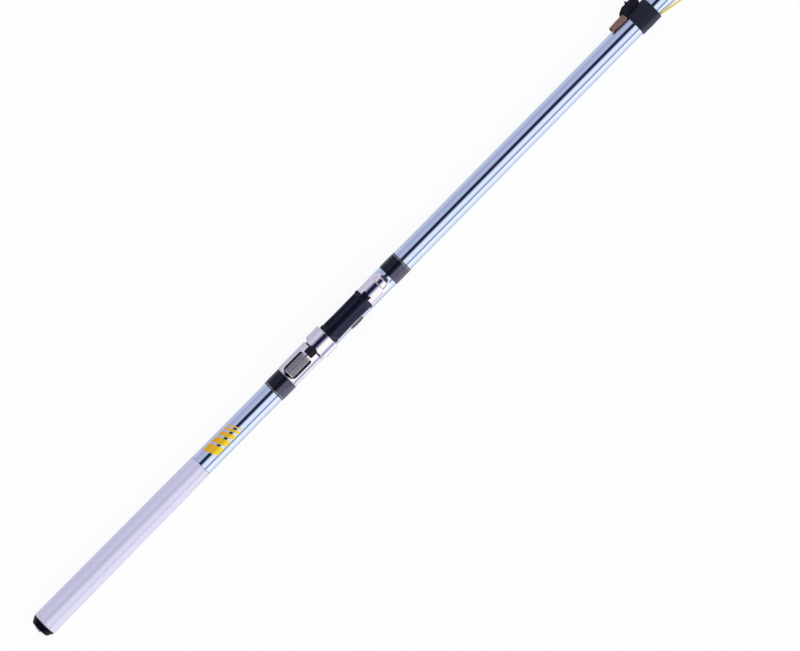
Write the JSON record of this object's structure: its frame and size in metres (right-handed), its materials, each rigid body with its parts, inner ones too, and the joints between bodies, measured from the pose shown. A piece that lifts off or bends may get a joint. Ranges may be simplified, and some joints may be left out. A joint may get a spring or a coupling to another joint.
{
  "type": "telescopic fishing rod",
  "caption": "Closed telescopic rock fishing rod with mirror-silver tube, white grip, screw-lock plate reel seat, elastic strap with toggle and nested guided sections.",
  "frame": {"origin": "centre of the flat disc in the butt cap's end, on the rod's axis", "axes": "+X along the rod towards the tip, +Z out of the reel seat and through the guide rings, +Y to the side of the strap's toggle"},
  "size_m": [1.176, 0.051, 0.0581],
  "materials": {
    "silver": "mirror-silver coat over carbon and resin",
    "white_grip": "satin white sleeve with a lavender cast",
    "bright_steel": "polished, slightly warm",
    "knurled_steel": "fine diamond knurl",
    "black_steel": "blackened thread",
    "black_plastic": "moulded, faint lengthwise ribs",
    "cushion": "plain foam rubber",
    "black_thread": "thread under clear epoxy",
    "gold_thread": "metallic gold thread under clear epoxy",
    "elastic": "ribbed woven elastic",
    "brown_plastic": "dull moulded",
    "yellow_cord": "fine braided cord",
    "tip": "lacquered solid tip",
    "guide_steel": "dark polished wire",
    "ceramic": "polished black ceramic"
  },
  "bodies": {
    "butt_section": {"butt_blank": "silver", "grip_sleeve": "white_grip", "butt_trim_ring": "bright_steel", "winding_lower": "black_thread", "winding_lower_trim": "gold_thread", "winding_upper": "black_thread", "winding_upper_trim": "gold_thread", "seat_plate": "bright_steel", "screw_housing": "bright_steel", "fixed_hood": "bright_steel", "fixed_hood_liner": "black_plastic", "finger_pad": "cushion", "elastic_strap": "elastic", "strap_gather": "elastic", "strap_toggle": "brown_plastic", "keeper_cord": "yellow_cord", "cord_knot": "yellow_cord", "guide_winding_1": "black_thread", "guide_frame_1": "guide_steel", "guide_ring_1": "ceramic"},
    "lock_nut": {"lock_nut": "knurled_steel"},
    "sliding_hood": {"sliding_hood": "bright_steel", "lock_screw": "black_steel", "sliding_hood_liner": "black_plastic"},
    "seat_cover": {"seat_cover": "black_plastic"},
    "cap_cushion": {"cap_cushion": "cushion"},
    "butt_cap": {"butt_cap": "black_plastic", "cap_coin_disc": "bright_steel"},
    "section_2": {"section_2_blank": "silver", "guide_winding_2": "black_thread", "guide_frame_2": "guide_steel", "guide_ring_2": "ceramic"},
    "section_3": {"section_3_blank": "silver", "guide_winding_3": "black_thread", "guide_frame_3": "guide_steel", "guide_ring_3": "ceramic"},
    "section_4": {"section_4_blank": "silver", "guide_winding_4": "black_thread", "guide_frame_4": "guide_steel", "guide_ring_4": "ceramic"},
    "section_5": {"section_5_tip": "tip", "tip_top_frame": "guide_steel", "tip_top_ring": "ceramic"},
    "guide_cradle": {"guide_cradle": "black_plastic"}
  },
  "joints": [
    {"name": "section_2_slide", "type": "slide", "parent": "butt_section", "child": "section_2", "axis": [1, 0, 0], "range_m": [0, 0.96]},
    {"name": "section_3_slide", "type": "slide", "parent": "section_2", "child": "section_3", "axis": [1, 0, 0], "range_m": [0, 0.97]},
    {"name": "section_4_slide", "type": "slide", "parent": "section_3", "child": "section_4", "axis": [1, 0, 0], "range_m": [0, 0.985]},
    {"name": "section_5_slide", "type": "slide", "parent": "section_4", "child": "section_5", "axis": [1, 0, 0], "range_m": [0, 1]},
    {"name": "guide_cradle_slide", "type": "slide", "parent": "section_5", "child": "guide_cradle", "axis": [1, 0, 0], "range_m": [0, 0.12]},
    {"name": "lock_nut_spin", "type": "hinge", "parent": "butt_section", "child": "lock_nut", "pos_m": [0.39025, 0, 0.01975], "axis": [1, 0, 0], "range_deg": [0, 1440]},
    {"name": "sliding_hood_slide", "type": "slide", "parent": "butt_section", "child": "sliding_hood", "axis": [-1, 0, 0], "range_m": [0, 0.0081]},
    {"name": "seat_cover_lift", "type": "slide", "parent": "butt_section", "child": "seat_cover", "axis": [0, 0, 1], "range_m": [0, 0.03]},
    {"name": "cap_cushion_slide", "type": "slide", "parent": "butt_section", "child": "cap_cushion", "axis": [-1, 0, 0], "range_m": [0, 0.0101]},
    {"name": "butt_cap_turn", "type": "hinge", "parent": "cap_cushion", "child": "butt_cap", "pos_m": [0.0058, 0, 0], "axis": [-1, 0, 0], "range_deg": [0, 1800]}
  ],
  "couplings": [
    {"joint": "sliding_hood_slide", "follows": "lock_nut_spin", "m_per_rad": 0.00031831},
    {"joint": "cap_cushion_slide", "follows": "butt_cap_turn", "m_per_rad": 0.00031831}
  ]
}
